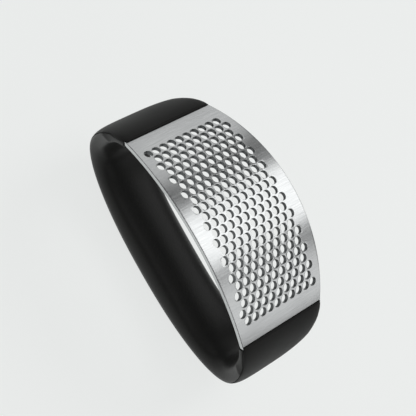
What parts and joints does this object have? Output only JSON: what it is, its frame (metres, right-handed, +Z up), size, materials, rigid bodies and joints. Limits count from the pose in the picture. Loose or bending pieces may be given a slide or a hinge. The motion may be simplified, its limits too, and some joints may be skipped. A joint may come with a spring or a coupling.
{
  "type": "garlic press",
  "caption": "Rocker garlic press: a curved perforated steel plate across a moulded black loop handle that the fingers go through.",
  "frame": {"origin": "on the flat on the palm side of the grip, under the middle of the loop, which is the centre of the bottom of its box", "axes": "+X along the loop from one end of the plate to the other, +Y across the plate's width, +Z up from the palm side of the grip to the crown of the perforated plate"},
  "size_m": [0.1094, 0.0524, 0.0632],
  "materials": {
    "steel_plate": "brushed across the plate",
    "black_moulding": "satin moulded"
  },
  "bodies": {
    "root": {"press_plate": "steel_plate", "handle_frame": "black_moulding", "palm_cover": "black_moulding", "end_cap_left": "black_moulding", "end_cap_right": "black_moulding"}
  },
  "joints": []
}
